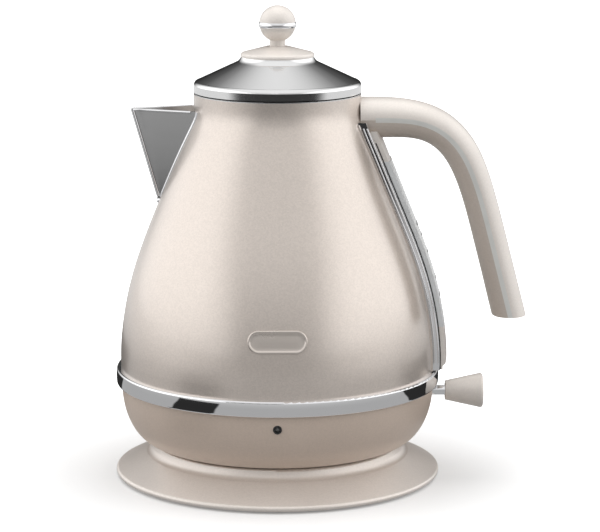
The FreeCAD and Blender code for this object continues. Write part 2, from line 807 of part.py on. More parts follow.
def gauge_marks():
    """Printed level marks: short raised bars on the window."""
    bars = []
    for index, z in enumerate(MARK_LEVELS_Z):
        half = 9.0 if index in (0, len(MARK_LEVELS_Z) - 1) else 6.0
        block = slab((30.0, 110.0), (-half, half), (z - 0.6, z + 0.6))
        bars.append(on_vessel(GAUGE_HEIGHT, GAUGE_HEIGHT + 0.15, block))
    return group(bars)


def gauge_cap_lower():
    """Moulded foot of the gauge, with a rounded lower edge."""
    cap = on_vessel(GAUGE_BACK, GAUGE_HEIGHT, gauge_inside(GAUGE_BOTTOM_Z, WINDOW_Z[0]))
    outer = BODY_RADIUS + GAUGE_HEIGHT
    keep = outline(
        (BODY_RADIUS - 20.0, GAUGE_BOTTOM_Z - 5.0),
        (outer - 2.8, GAUGE_BOTTOM_Z - 5.0),
        (outer - 2.8, GAUGE_BOTTOM_Z + 1.8),
        ((outer - 0.8, GAUGE_BOTTOM_Z + 4.0), (outer + 0.2, GAUGE_BOTTOM_Z + 8.6)),
        (outer + 0.2, WINDOW_Z[0] + 5.0),
        (BODY_RADIUS - 20.0, WINDOW_Z[0] + 5.0),
    )
    keep = keep.extrude(Vector(0, 60, 0))
    keep.translate(Vector(0, -30, 0))
    return cap.common(keep)


def gauge_cap_upper():
    """Moulded web between the window and the underside of the handle."""
    cap = on_vessel(GAUGE_BACK, GAUGE_HEIGHT - 0.4, gauge_inside(WINDOW_Z[1], 189.0))
    return cap.cut(handle_loft(0.0))


# ---------------------------------------------------------------- handle


def handle_line():
    """Centre line of the handle as a smooth curve."""
    points = [Vector(x, 0, z) for x, z, thickness, width in HANDLE_SECTIONS]
    spline = Part.BSplineCurve()
    spline.interpolate(
        Points=points,
        InitialTangent=HANDLE_START_DIRECTION,
        FinalTangent=HANDLE_END_DIRECTION,
    )
    return spline


def handle_normal(spline, parameter):
    """Unit vector across the handle in its own plane, towards the outside of the bend."""
    along = spline.tangent(parameter)[0]
    return Vector(-along.z, 0, along.x)


def handle_section(centre, across, thickness, width):
    """Rounded closed wire round the handle's centre line."""
    points = []
    count = 16
    for index in range(count):
        angle = 2 * math.pi * index / count
        c = math.cos(angle)
        s = math.sin(angle)
        out = math.copysign(abs(c) ** (2 / HANDLE_SQUARENESS), c) * thickness / 2
        side = math.copysign(abs(s) ** (2 / HANDLE_SQUARENESS), s) * width / 2
        points.append(centre.add(Vector(across).multiply(out)).add(Vector(0, side, 0)))
    spline = Part.BSplineCurve()
    spline.interpolate(Points=points, PeriodicFlag=True)
    return Part.Wire(spline.toShape())


def handle_loft(inset):
    """The handle's outer form moved in by an inset, cut off level at its free end."""
    spline = handle_line()
    wires = []
    for x, z, thickness, width in HANDLE_SECTIONS:
        centre = Vector(x, 0, z)
        across = handle_normal(spline, spline.parameter(centre))
        wires.append(handle_section(centre, across, thickness - 2 * inset, width - 2 * inset))
    form = Part.makeLoft(wires, True, False)
    return form.common(slab((0.0, 200.0), (-40.0, 40.0), (HANDLE_END_Z + inset, 260.0)))


def handle_side(low, high):
    """Slab across the handle, between two distances from its centre line (outwards is positive)."""
    spline = handle_line()
    count = 15
    step = (spline.LastParameter - spline.FirstParameter) / (count - 1)
    rails = []
    for distance in (low, high):
        points = []
        for index in range(count):
            parameter = spline.FirstParameter + step * index
            shift = handle_normal(spline, parameter).multiply(distance)
            points.append(spline.value(parameter).add(shift))
        rails.append(points)
    edges = [
        curve(rails[0]),
        Part.makeLine(rails[0][-1], rails[1][-1]),
        curve(rails[1]),
        Part.makeLine(rails[1][0], rails[0][0]),
    ]
    face = Part.Face(Part.Wire(Part.__sortEdges__(edges)))
    return extruded_across(face, 40.0)


def extruded_across(face, width):
    solid = face.extrude(Vector(0, width, 0))
    solid.translate(Vector(0, -width / 2, 0))
    return solid


def handle_skin():
    """Hollow handle that meets the vessel's wall."""
    skin = handle_loft(0.0).cut(handle_loft(HANDLE_WALL)).cut(vessel_core(0.0))
    inside_neck = slab((0.0, 44.0), (-40.0, 40.0), (180.0, 210.0))
    return skin.cut(inside_neck)


def handle_middle():
    """Narrow band of the handle along its centre line, from the trims' inner end to the tip."""
    band = handle_side(-STRIP_HALF_WIDTH, STRIP_HALF_WIDTH)
    return band.common(slab((STRIP_START_X, 200.0), (-40.0, 40.0), (60.0, 230.0)))


def handle_upper_shell():
    return handle_skin().common(handle_side(0.0, 18.0)).cut(handle_middle())


def handle_lower_shell():
    trims = joined(handle_trim(-1), handle_trim(1))
    lower = handle_skin().common(handle_side(-18.0, 0.0)).cut(handle_middle())
    ledge = handle_skin().common(handle_middle()).cut(trims)
    return joined(lower, ledge)


def handle_trim(side):
    """Metal strip let into one side of the handle; side is -1 at the front and 1 at the back."""
    strips = handle_loft(0.0).cut(handle_loft(STRIP_DEPTH)).common(handle_middle())
    half = slab((0.0, 200.0), (min(0, side * 40), max(0, side * 40)), (HANDLE_END_Z, 230.0))
    inner = slab((0.0, 200.0), (-9.0, 9.0), (60.0, 230.0))
    return strips.common(half).cut(inner)


def handle_bracket():
    """Steel block in the handle's root that the screws pull against the vessel."""
    block = slab((40.0, 66.0), (-7.5, 7.5), (190.5, 199.5)).cut(vessel_core(0.0))
    holes = [rod(Vector(35, y, z), Vector(56, y, z), 1.6) for y, z in handle_screw_places()]
    return block.cut(group(holes))


def handle_screws():
    screws = []
    for y, z in handle_screw_places():
        head = rod(Vector(41.0, y, z), Vector(43.2, y, z), 3.0)
        shank = rod(Vector(43.2, y, z), Vector(56.0, y, z), 1.6)
        screws.append(joined(head, shank))
    return group(screws)


# ---------------------------------------------------------------- lid


def lid_cover():
    """Polished steel cone with a rolled rim."""
    rim_low, rim_high = LID_RIM_Z
    t = LID_SHEET
    shoulder_middle = (LID_RADIUS - 0.55, 213.9)
    return turned(
        (STUD_RADIUS, LID_TOP_Z),
        (LID_TOP_RADIUS, LID_TOP_Z),
        ((20.3, 225.9), LID_CONE_TOP),
        LID_SHOULDER,
        (shoulder_middle, (LID_RADIUS, rim_high)),
        (LID_RADIUS, rim_low),
        (LID_RADIUS - t, rim_low),
        (LID_RADIUS - t, rim_high),
        ((LID_RADIUS - t - 0.5, 213.3), (LID_SHOULDER[0] - 0.3, LID_SHOULDER[1] - t)),
        (LID_CONE_TOP[0] - 0.4, LID_CONE_TOP[1] - t),
        ((19.6, 225.2), (LID_TOP_RADIUS - 0.5, LID_TOP_Z - t)),
        (STUD_RADIUS, LID_TOP_Z - t),
    )


def lid_cap():
    """Cream cone under the knob, hollow below."""
    return turned(
        (STUD_RADIUS, LID_TOP_Z),
        (5.0, LID_TOP_Z),
        (6.0, 230.4),
        (17.4, LID_TOP_Z + 0.6),
        (17.6, LID_TOP_Z),
        (CAP_RADIUS, LID_TOP_Z),
        (CAP_RADIUS, 228.3),
        ((19.4, 229.1), (18.6, 229.7)),
        CAP_TOP,
        (STUD_RADIUS, CAP_TOP[1] + 0.1),
    )


def knob_lower():
    low, high = KNOB_BAND_Z
    ball = Part.makeSphere(KNOB_RADIUS, Vector(0, 0, KNOB_Z))
    ball = ball.common(disc(20.0, 230.0, low))
    neck = disc(KNOB_NECK_RADIUS, CAP_TOP[1] + 0.1, 237.0)
    return joined(ball, neck).cut(knob_stud())


def knob_band():
    low, high = KNOB_BAND_Z
    return turned(
        (STUD_RADIUS, low),
        (9.75, low),
        ((10.15, (low + high) / 2), (9.6, high)),
        (STUD_RADIUS, high),
    )


def knob_upper():
    ball = Part.makeSphere(KNOB_RADIUS, Vector(0, 0, KNOB_Z))
    return ball.common(disc(20.0, KNOB_BAND_Z[1], 260.0)).cut(knob_stud())


def knob_stud():
    return disc(STUD_RADIUS, 205.6, 250.0)


def knob_nut():
    """Hexagon nut on the stud, under the lid's liner."""
    corners = [polar(4.0, 60 * index, 206.0) for index in range(7)]
    return Part.Face(Part.makePolygon(corners)).extrude(Vector(0, 0, 2.4)).cut(knob_stud())


def lid_liner():
    """Moulded liner: a ring that drops into the mouth, a lid disc and a centre post."""
    return turned(
        (STUD_RADIUS, LINER_Z[0]),
        (36.5, LINER_Z[0]),
        (36.5, 201.0),
        (38.5, 201.0),
        (38.5, LINER_Z[0]),
        (43.5, LINER_Z[0]),
        (43.5, LINER_Z[1]),
        (5.0, LINER_Z[1]),
        (5.0, LID_TOP_Z - LID_SHEET),
        (STUD_RADIUS, LID_TOP_Z - LID_SHEET),
    )


def lid_seal():
    """Silicone lip round the liner's ring."""
    return turned(
        (38.5, 203.0),
        (39.6, 203.0),
        (41.3, 204.2),
        (41.3, 205.0),
        (39.6, 205.4),
        (38.5, 205.4),
    )


# ---------------------------------------------------------------- every node


def nodes():
    return {
        "base_cover": base_cover(),
        "base_plate": base_plate(),
        "non_slip_ring": ring(75.0, 81.0, 0.0, PLATE_LOW_Z),
        "base_screws": base_screws(),
        "base_connector": base_connector(),
        "base_contacts": base_contacts(),
        "cord_bush": cord_bush(),
        "body_shell": body_shell(),
        "neck_collar": neck_collar(),
        "spout": spout(),
        "filter_guides": filter_guides(),
        "filter_frame": filter_frame(),
        "filter_mesh": filter_mesh(),
        "badge": badge(),
        "belt_ring": belt_ring(),
        "bottom_bowl": bottom_bowl(),
        "pilot_bezel": pilot_bezel(),
        "pilot_lens": pilot_lens(),
        "pilot_lamp": pilot_lamp(),
        "bottom_screws": bottom_screws(),
        "bowl_pillars": bowl_pillars(),
        "switch_bracket": switch_bracket(),
        "pivot_pins": pivot_pins(),
        "switch_rocker": switch_rocker(),
        "switch_stem": switch_stem(),
        "switch_knob": switch_knob(),
        "trip_lever": trip_lever(),
        "steam_tube": steam_tube(),
        "steam_bimetal": steam_bimetal(),
        "heater_plate": heater_plate(),
        "heater_seal": heater_seal(),
        "heat_spreader": heat_spreader(),
        "heating_element": heating_element(),
        "element_terminals": element_terminals(),
        "control_housing": control_housing(),
        "bimetal_discs": bimetal_discs(),
        "jug_contacts": jug_contacts(),
        "gauge_trim_front": gauge_trim(-1),
        "gauge_trim_back": gauge_trim(1),
        "gauge_seal": gauge_seal(),
        "gauge_back_plate": gauge_back_plate(),
        "gauge_grommets": gauge_grommets(),
        "gauge_window": gauge_window(),
        "gauge_marks": gauge_marks(),
        "gauge_cap_lower": gauge_cap_lower(),
        "gauge_cap_upper": gauge_cap_upper(),
        "handle_upper_shell": handle_upper_shell(),
        "handle_lower_shell": handle_lower_shell(),
        "handle_trim_front": handle_trim(-1),
        "handle_trim_back": handle_trim(1),
        "handle_bracket": handle_bracket(),
        "handle_screws": handle_screws(),
        "lid_cover": lid_cover(),
        "lid_cap": lid_cap(),
        "knob_lower": knob_lower(),
        "knob_band": knob_band(),
        "knob_upper": knob_upper(),
        "knob_stud": group([knob_stud(), knob_nut()]),
        "lid_liner": lid_liner(),
        "lid_seal": lid_seal(),
    }


def main():
    os.makedirs("parts", exist_ok=True)
    for name, shape in nodes().items():
        solids = shape.Solids
        valid = all(solid.isValid() and solid.Volume > 0 for solid in solids)
        if not solids or not valid:
            raise RuntimeError(name + " is not a set of valid solids")
        kept = solids[0] if len(solids) == 1 else Part.Compound(solids)
        kept.exportStep("parts/" + name + ".step")
        box = kept.BoundBox
        size = "%.1f x %.1f x %.1f mm" % (box.XLength, box.YLength, box.ZLength)
        print(name, len(solids), "solid(s)", size)


main()
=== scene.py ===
import json
import math

import bpy
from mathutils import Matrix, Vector


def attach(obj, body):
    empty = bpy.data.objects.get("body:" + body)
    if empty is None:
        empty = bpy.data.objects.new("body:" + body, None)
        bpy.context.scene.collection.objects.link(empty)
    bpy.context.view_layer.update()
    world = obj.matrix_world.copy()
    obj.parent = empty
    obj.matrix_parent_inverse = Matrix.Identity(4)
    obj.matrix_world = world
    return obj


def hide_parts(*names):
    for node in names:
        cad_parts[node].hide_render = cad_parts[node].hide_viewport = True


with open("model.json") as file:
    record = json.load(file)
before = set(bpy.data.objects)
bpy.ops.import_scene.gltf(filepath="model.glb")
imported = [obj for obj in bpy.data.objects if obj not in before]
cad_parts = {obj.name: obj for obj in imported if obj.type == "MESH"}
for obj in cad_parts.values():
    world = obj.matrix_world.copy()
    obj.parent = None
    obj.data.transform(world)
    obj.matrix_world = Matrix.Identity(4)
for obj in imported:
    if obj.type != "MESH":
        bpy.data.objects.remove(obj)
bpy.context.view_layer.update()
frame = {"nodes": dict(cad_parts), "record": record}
nodes = frame["nodes"]

MM = 0.001

# ------------------------------------------------------------------ camera

CAMERA_DISTANCE = 1.400
CAMERA_HEIGHT = 0.3808
CAMERA_TILT_DEGREES = 79.202
SENSOR_WIDTH = 36.0
FOCAL_LENGTH = 158.18
CAMERA_SHIFT = 0.0375

camera_data = bpy.data.cameras.new("camera")
camera = bpy.data.objects.new("camera", camera_data)
bpy.context.scene.collection.objects.link(camera)
camera.location = (0.0, -CAMERA_DISTANCE, CAMERA_HEIGHT)
camera.rotation_euler = (math.radians(CAMERA_TILT_DEGREES), 0.0, 0.0)
camera_data.sensor_width = SENSOR_WIDTH
camera_data.lens = FOCAL_LENGTH
camera_data.shift_x = CAMERA_SHIFT
bpy.context.scene.camera = camera


# ------------------------------------------------------------------ material helpers


def link(tree, source, target):
    tree.links.new(source, target)


def noise(tree, coords, scale, detail=4.0, stretch=None):
    """Noise in the object's own metres; scale is the number of blotches in a metre."""
    node = tree.nodes.new("ShaderNodeTexNoise")
    node.inputs["Scale"].default_value = scale
    node.inputs["Detail"].default_value = detail
    source = coords
    if stretch:
        mapping = tree.nodes.new("ShaderNodeMapping")
        mapping.inputs["Scale"].default_value = stretch
        link(tree, coords, mapping.inputs["Vector"])
        source = mapping.outputs["Vector"]
    link(tree, source, node.inputs["Vector"])
    return node.outputs["Fac"]


def ramp(tree, factor, low, high, from_low=0.35, from_high=0.65):
    node = tree.nodes.new("ShaderNodeValToRGB")
    node.color_ramp.elements[0].position = from_low
    node.color_ramp.elements[0].color = (*low, 1.0)
    node.color_ramp.elements[1].position = from_high
    node.color_ramp.elements[1].color = (*high, 1.0)
    link(tree, factor, node.inputs["Fac"])
    return node.outputs["Color"]


def spread(tree, factor, low, high):
    node = tree.nodes.new("ShaderNodeMapRange")
    node.inputs["From Min"].default_value = 0.3
    node.inputs["From Max"].default_value = 0.7
    node.inputs["To Min"].default_value = low
    node.inputs["To Max"].default_value = high
    link(tree, factor, node.inputs["Value"])
    return node.outputs["Result"]


def shade(color, factor):
    return tuple(min(1.0, channel * factor) for channel in color)


def finish(
    name, color, roughness, vary=0.04, scale=60.0, bump=0.02, bump_scale=900.0, stretch=None, **sockets
):
    """Principled material. Colour and roughness vary in broad patches; bump is the fine relief, in mm."""
    made = bpy.data.materials.new(name)
    made.use_nodes = True
    tree = made.node_tree
    shader = tree.nodes["Principled BSDF"]
    coords = tree.nodes.new("ShaderNodeTexCoord").outputs["Object"]
    cloud = noise(tree, coords, scale, 5.0, stretch)
    fine = noise(tree, coords, bump_scale, 3.0, stretch)
    tint = ramp(tree, cloud, shade(color, 1 - vary), shade(color, 1 + vary))
    link(tree, tint, shader.inputs["Base Color"])
    link(tree, spread(tree, cloud, roughness[0], roughness[1]), shader.inputs["Roughness"])
    relief = tree.nodes.new("ShaderNodeBump")
    relief.inputs["Strength"].default_value = 1.0
    relief.inputs["Distance"].default_value = bump * MM
    link(tree, fine, relief.inputs["Height"])
    link(tree, relief.outputs["Normal"], shader.inputs["Normal"])
    for socket, value in sockets.items():
        shader.inputs[socket.replace("_", " ")].default_value = value
    return made


def add_flakes(made, color, cells=1500.0, contrast=0.10):
    """Fine metallic flake: each small cell of the paint is a little lighter or darker."""
    tree = made.node_tree
    shader = tree.nodes["Principled BSDF"]
    coords = tree.nodes.new("ShaderNodeTexCoord").outputs["Object"]
    cell = tree.nodes.new("ShaderNodeTexVoronoi")
    cell.inputs["Scale"].default_value = cells
    link(tree, coords, cell.inputs["Vector"])
    grey = tree.nodes.new("ShaderNodeSeparateColor")
    link(tree, cell.outputs["Color"], grey.inputs["Color"])
    darker, lighter = shade(color, 1 - contrast), shade(color, 1 + contrast)
    speckle = ramp(tree, grey.outputs["Red"], darker, lighter, 0.0, 1.0)
    cloud = shader.inputs["Base Color"].links[0].from_socket
    mix = tree.nodes.new("ShaderNodeMix")
    mix.data_type = "RGBA"
    mix.inputs["Factor"].default_value = 0.5
    link(tree, cloud, mix.inputs[6])
    link(tree, speckle, mix.inputs[7])
    link(tree, mix.outputs[2], shader.inputs["Base Color"])
    return made


def moulded(name, color, roughness, metallic, coat, coat_roughness):
    """Softly pearled plastic or paint, all of one kind but for tone and gloss."""
    made = finish(name, color, roughness, vary=0.02, scale=40.0, bump=0.002, bump_scale=1800.0,
                  Metallic=metallic, Coat_Weight=coat, Coat_Roughness=coat_roughness)
    return add_flakes(made, color, contrast=0.06)


# ------------------------------------------------------------------ finishes

CREAM = (0.80, 0.745, 0.695)
# Painted shade: the lower bowl is the cream plastic in a darker tone, for the shade under the belt where
# it curves down.
SHADED_BOWL_TONE = (0.66, 0.545, 0.46)
# Painted shade: the handle's lower shell is the same cream plastic, darker here because it faces down
# away from the light.
SHADED_UNDERSIDE_TONE = (0.60, 0.53, 0.47)
BASE_TONE = (0.80, 0.735, 0.68)
PEARL = (0.68, 0.61, 0.555)

looks = {
    "pearl_paint": add_flakes(
        finish("pearl_paint", PEARL, (0.30, 0.36), vary=0.02, scale=25.0, bump=0.0015, bump_scale=2500.0,
               Metallic=0.75, Coat_Weight=0.6, Coat_Roughness=0.12),
        PEARL,
    ),
    "cream_plastic": moulded("cream_plastic", CREAM, (0.34, 0.42), 0.15, 0.35, 0.15),
    "shaded_bowl_paint": moulded("shaded_bowl_paint", SHADED_BOWL_TONE, (0.40, 0.46), 0.20, 0.15, 0.30),
    "shaded_underside_plastic": moulded("shaded_underside_plastic", SHADED_UNDERSIDE_TONE, (0.36, 0.44), 0.15, 0.35, 0.15),
    "base_paint": moulded("base_paint", BASE_TONE, (0.34, 0.40), 0.40, 0.3, 0.30),
    "polished_steel": finish(
        "polished_steel", (0.82, 0.82, 0.82), (0.06, 0.12), vary=0.015, scale=30.0, bump=0.00005,
        bump_scale=600.0, Metallic=1.0,
    ),
    "chrome": finish(
        "chrome", (0.82, 0.82, 0.83), (0.02, 0.05), vary=0.01, scale=30.0, bump=0.00005,
        bump_scale=400.0, Metallic=1.0,
    ),
    "satin_steel": finish(
        "satin_steel", (0.62, 0.62, 0.62), (0.20, 0.34), vary=0.03, scale=60.0, bump=0.0002,
        bump_scale=500.0, stretch=(1.0, 1.0, 8.0), Metallic=1.0,
    ),
    # Painted shade: the spout's steel is a darker copy of the satin steel, standing in for the dark
    # surroundings it reflects.
    "shaded_spout_steel": finish(
        "shaded_spout_steel", (0.42, 0.42, 0.42), (0.16, 0.22), vary=0.02, scale=60.0, bump=0.0001,
        bump_scale=500.0, stretch=(1.0, 1.0, 6.0), Metallic=1.0,
    ),
    "trim_metal": finish(
        "trim_metal", (0.78, 0.78, 0.75), (0.30, 0.38), vary=0.03, scale=80.0, bump=0.0003,
        bump_scale=900.0, Metallic=0.30,
    ),
    "badge_metal": finish(
        "badge_metal", (0.66, 0.60, 0.55), (0.27, 0.30), vary=0.015, scale=25.0, bump=0.0002,
        bump_scale=1500.0, Metallic=0.8, Coat_Weight=0.4,
    ),
    "zinc_steel": finish(
        "zinc_steel", (0.55, 0.56, 0.57), (0.28, 0.42), vary=0.10, scale=300.0, Metallic=1.0,
    ),
    "aluminium": finish(
        "aluminium", (0.70, 0.70, 0.71), (0.35, 0.50), vary=0.06, scale=200.0, bump=0.02, Metallic=1.0,
    ),
    "brass": finish(
        "brass", (0.70, 0.52, 0.26), (0.20, 0.35), vary=0.08, scale=200.0, Metallic=1.0,
    ),
    "black_rubber": finish(
        "black_rubber", (0.018, 0.018, 0.018), (0.55, 0.75), vary=0.2, scale=300.0, bump=0.03,
        bump_scale=1500.0,
    ),
    "silicone": finish(
        "silicone", (0.55, 0.54, 0.52), (0.40, 0.55), vary=0.06, scale=150.0, bump=0.02,
        Subsurface_Weight=0.1,
    ),
    "dark_plastic": finish(
        "dark_plastic", (0.025, 0.025, 0.026), (0.38, 0.52), vary=0.15, scale=150.0, bump=0.02,
        bump_scale=1600.0,
    ),
    "white_plastic": finish(
        "white_plastic", (0.62, 0.62, 0.60), (0.35, 0.48), vary=0.04, scale=100.0, bump=0.012,
        bump_scale=1500.0,
    ),
    "clear_plastic": finish(
        "clear_plastic", (0.75, 0.76, 0.75), (0.04, 0.10), vary=0.03, scale=300.0, bump=0.002,
        Transmission_Weight=0.85, IOR=1.49,
    ),
    "gauge_plastic": finish(
        "gauge_plastic", (0.86, 0.87, 0.87), (0.16, 0.24), vary=0.03, scale=120.0, bump=0.0005,
        Transmission_Weight=0.15, IOR=1.49, Coat_Weight=0.5,
    ),
    "mark_ink": finish(
        "mark_ink", (0.012, 0.012, 0.012), (0.30, 0.45), vary=0.2, scale=400.0, bump=0.004,
    ),
}

slots = {part["node"]: part["material_slot"] for part in frame["record"]["subparts"]}
own_looks = {
    # Painted shade on the lower bowl: a darker copy of the cream plastic.
    "bottom_bowl": "shaded_bowl_paint",
    "base_cover": "base_paint",
    # Painted shade on the handle's underside: a darker copy of the cream plastic.
    "handle_lower_shell": "shaded_underside_plastic",
}
for name, node in nodes.items():
    node.data.materials.clear()
    node.data.materials.append(looks[own_looks.get(name, slots[name])])


# ------------------------------------------------------------------ shaped pieces


def add_piece(name, points, faces, body, slot_name, sharp_degrees=40.0):
    mesh = bpy.data.meshes.new(name)
    mesh.from_pydata(points, [], faces)
    mesh.validate()
    mesh.update()
    mesh.shade_smooth()
    mesh.set_sharp_from_angle(angle=math.radians(sharp_degrees))
    mesh.materials.append(looks[slot_name])
    made = bpy.data.objects.new(name, mesh)
    bpy.context.scene.collection.objects.link(made)
    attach(made, body)
    return made


def grid_faces(rows, columns, closed=False):
    """Quads between rows of points; closed joins the last column to the first."""
    faces = []
    for row in range(rows - 1):
        for column in range(columns if closed else columns - 1):
            after = (column + 1) % columns
            here = row * columns
            above = here + columns
            faces.append((here + column, here + after, above + after, above + column))
    return faces


def on_wall(origin, direction):
    """Point and outward normal where a line first meets the painted wall."""
    _, place, normal, _ = nodes["body_shell"].ray_cast(Vector(origin), Vector(direction).normalized())
    return place, normal


BADGE_HALF = (15.35 * MM, 5.95 * MM)
BADGE_Z = 89.7 * MM
BADGE_POINTS = 96
# (distance in from the edge, height off the wall), in mm: back, rounded rim, flat field
BADGE_RIM = [(0.0, -0.1), (0.0, 0.8), (0.15, 1.2), (0.5, 1.45), (0.9, 1.45), (1.2, 1.25), (1.45, 0.95)]
BADGE_FIELD = [(1.8, 0.85), (3.2, 0.85), (4.6, 0.85), (5.9, 0.85)]
IN_FRONT = -0.2


def badge():
    """Blank oval plaque: a rounded rim round a flat field, curved to the wall."""
    half_length, half_height = BADGE_HALF
    count = BADGE_POINTS
    points = []
    rows = BADGE_RIM + BADGE_FIELD
    for inset, rise in rows:
        radius = half_height - inset * MM
        for index in range(count):
            angle = 2 * math.pi * index / count
            side = 1 if math.cos(angle) >= 0 else -1
            x = side * (half_length - half_height) + radius * math.cos(angle)
            z = BADGE_Z + radius * math.sin(angle)
            place, normal = on_wall((x, IN_FRONT, z), (0, 1, 0))
            points.append(place + normal * rise * MM)
    faces = grid_faces(len(rows), count, closed=True)
    last = (len(rows) - 1) * count
    faces.append(tuple(last + index for index in range(count)))
    faces.append(tuple(reversed(range(count))))
    made = add_piece("badge_plaque", points, faces, "jug", "badge_metal")
    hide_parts("badge")


SPOUT_TIP = Vector((-78.5, 0.0, 199.5)) * MM
SPOUT_FOOT = Vector((-64.2, 0.0, 149.9)) * MM
SPOUT_HALF_ANGLE = math.radians(22.2)
KEEL_RADIUS = 2.6 * MM
KEEL_STEPS = 6
SIDE_STEPS = 8
SPOUT_SHEET = 1.0 * MM
SPOUT_EDGE = 0.35 * MM
SPOUT_ROWS = 28
SPOUT_LOWEST_SHARE = 0.012
SPOUT_BURY = 0.6 * MM
LEAST_SIDE = 0.2 * MM
OUTSIDE = 10.0 * MM
SEAM_BEAD = (1.45 * MM, 0.9 * MM)
KEEL_BEAD = 1.0 * MM
KEEL_BEAD_INSET = Vector((0.9, -0.7, 0.0)) * MM
KEEL_BEAD_START = 0.05
KEEL_BEAD_ROWS = 20
LIP_BEAD = 0.8 * MM
LIP_BEAD_INSET = Vector((0.4, -0.1, -0.4)) * MM


def spout_section(share, bury=0.0):
    """Outline of the folded sheet at a share of its height: front seam, keel, back seam."""
    keel = SPOUT_FOOT.lerp(SPOUT_TIP, share)
    slant = math.tan(SPOUT_HALF_ANGLE)
    bend = KEEL_RADIUS * min(1.0, 0.35 + share)
    centre_x = keel.x + bend / math.sin(SPOUT_HALF_ANGLE)
    tip_x = centre_x - bend
    lean = math.pi / 2 - SPOUT_HALF_ANGLE
    half = []
    for step in range(KEEL_STEPS + 1):
        angle = lean * step / KEEL_STEPS
        half.append(Vector((centre_x - bend * math.cos(angle), -bend * math.sin(angle), keel.z)))
    start = half[-1]
    inward = Vector((1.0, -slant, 0.0)).normalized()
    # the line is followed from outside, as near the foot the start is already inside the wall
    wall, _ = on_wall(start - inward * OUTSIDE, inward)
    if (wall - start).dot(inward) < LEAST_SIDE:
        wall = start + inward * LEAST_SIDE
    for step in range(1, SIDE_STEPS + 1):
        half.append(start.lerp(wall, step / SIDE_STEPS))
    half[-1] = wall + inward * bury
    for index, point in enumerate(half):
        point.x -= (tip_x - keel.x) * max(0.0, 1 - index / KEEL_STEPS)
    return list(reversed(half)) + [mirror(point) for point in half[1:]]


def spout():
    """Open V spout folded from steel sheet with a rounded keel, and polished beads on its edges."""
    points = []
    seam = []
    for row in range(SPOUT_ROWS):
        share = SPOUT_LOWEST_SHARE + (1 - SPOUT_LOWEST_SHARE) * row / (SPOUT_ROWS - 1)
        seam.append(spout_section(share)[0])
        points.extend(spout_section(share, bury=SPOUT_BURY))
    faces = grid_faces(SPOUT_ROWS, len(points) // SPOUT_ROWS)
    made = add_piece("spout_sheet", points, faces, "jug", "satin_steel", 60.0)
    thick = made.modifiers.new("sheet", "SOLIDIFY")
    thick.thickness = SPOUT_SHEET
    thick.offset = -1.0 if made.data.polygons[0].normal.y < 0 else 1.0
    thick.use_even_offset = True
    round_edges(made, SPOUT_EDGE, 60.0)
    # The spout takes the darker steel copy: painted shade.
    made.data.materials[0] = looks["shaded_spout_steel"]
    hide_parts("spout")
    foot = Vector((SPOUT_FOOT.x - 0.3 * MM, 0.0, SPOUT_FOOT.z + 0.2 * MM))
    back_seam = [mirror(point) for point in reversed(seam)]
    bead_along("spout_bead", back_seam + [foot] + seam, *SEAM_BEAD)
    top = spout_section(1.0)
    keel = len(top) // 2
    ridge = []
    for row in range(KEEL_BEAD_ROWS + 1):
        share = KEEL_BEAD_START + (1 - KEEL_BEAD_START) * row / KEEL_BEAD_ROWS
        ridge.append(spout_section(share)[keel] + KEEL_BEAD_INSET)
    lip = [point + LIP_BEAD_INSET for point in top[1:keel + 1]]
    bead_pair("spout_keel_front", "spout_keel_back", ridge, KEEL_BEAD)
    bead_pair("spout_lip_front", "spout_lip_back", lip, LIP_BEAD)


def mirror(point):
    return Vector((point.x, -point.y, point.z))


def bead_pair(front_name, back_name, line, radius):
    """The same round bead on the front of the kettle and, mirrored, on the back."""
    bead_along(front_name, line, radius, radius)
    bead_along(back_name, [mirror(point) for point in line], radius, radius)


BEAD_SIDES = 10


def bead_along(name, line, width, height):
    """Polished bead of oval section along a line, with flat ends; half of it is usually buried."""
    ring = BEAD_SIDES
    points = []
    for index, place in enumerate(line):
        ahead = line[min(index + 1, len(line) - 1)] - line[max(index - 1, 0)]
        outward = Vector((place.x, place.y, 0.0)).normalized()
        sideways = ahead.cross(outward).normalized()
        outward = sideways.cross(ahead).normalized()
        for turn in range(ring):
            angle = 2 * math.pi * turn / ring
            across = sideways * width * math.cos(angle)
            points.append(place + across + outward * height * math.sin(angle))
    faces = grid_faces(len(line), ring, closed=True)
    faces.append(tuple(range(ring)))
    faces.append(tuple((len(line) - 1) * ring + index for index in range(ring)))
    add_piece(name, points, faces, "jug", "chrome", 70.0)


GAUGE_BEAD_RADIUS = 0.45 * MM
GAUGE_BEAD_Z = (64.0, 191.0)
GAUGE_BEAD_STEPS = 45
GAUGE_SIDE_Y = -18.0 * MM
TRIM_MIDDLE_Y = -17.0 * MM
BESIDE = 0.2


def gauge_beads():
    """Two thin raised lines down each trim of the water gauge, at two distances in from its face."""
    low_z, high_z = GAUGE_BEAD_Z
    inward = Vector((-1.0, 0.0, 0.0))
    for inset, label in ((0.9, "outer"), (2.9, "inner")):
        line = []
        for step in range(GAUGE_BEAD_STEPS + 1):
            z = (low_z + (high_z - low_z) * step / GAUGE_BEAD_STEPS) * MM
            origin = Vector((BESIDE, TRIM_MIDDLE_Y, z))
            hit, place, _, _ = nodes["gauge_trim_front"].ray_cast(origin, inward)
            if hit:
                line.append(Vector((place.x - inset * MM, GAUGE_SIDE_Y, z)))
        bead_pair("gauge_bead_front_" + label, "gauge_bead_back_" + label, line, GAUGE_BEAD_RADIUS)


def round_edges(made, width, degrees):
    edge = made.modifiers.new("edge", "BEVEL")
    edge.width = width
    edge.segments = 3
    edge.limit_method = "ANGLE"
    edge.angle_limit = math.radians(degrees)
    edge.harden_normals = True


def soften(name, width):
    """Small rounded edges on a CAD piece."""
    weld = nodes[name].modifiers.new("weld", "WELD")
    weld.merge_threshold = 0.002 * MM
    round_edges(nodes[name], width, 40.0)


